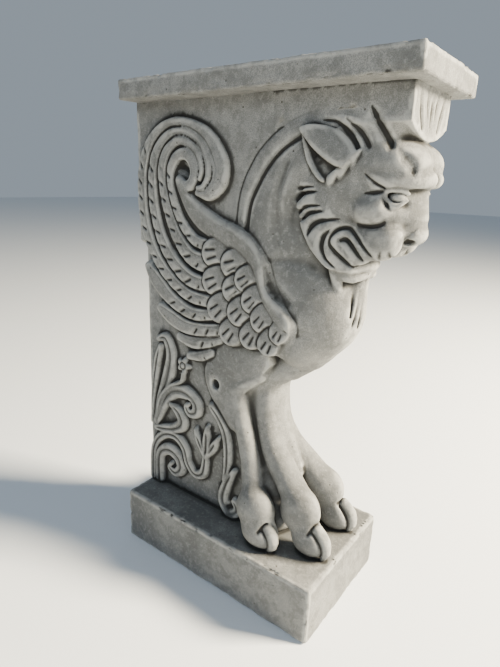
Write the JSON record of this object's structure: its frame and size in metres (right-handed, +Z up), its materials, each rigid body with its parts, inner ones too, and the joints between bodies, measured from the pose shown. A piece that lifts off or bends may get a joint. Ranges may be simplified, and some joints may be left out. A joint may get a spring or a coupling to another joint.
{
  "type": "winged lion pedestal statue",
  "caption": "Weathered cast-stone pedestal: a winged lion on one clawed leg before a scrollwork panel, with plinth block and top slab cast in one piece.",
  "frame": {"origin": "centre of the plinth's flat underside", "axes": "+X the way the lion faces, +Y towards its left side, +Z up; the flat back of the casting is at -X"},
  "size_m": [0.42, 0.207, 0.72],
  "materials": {
    "cast_stone": "matt weathered grey cast stone, dark wash in the recesses"
  },
  "bodies": {
    "root": {"winged_lion_pedestal": "cast_stone"}
  },
  "joints": []
}
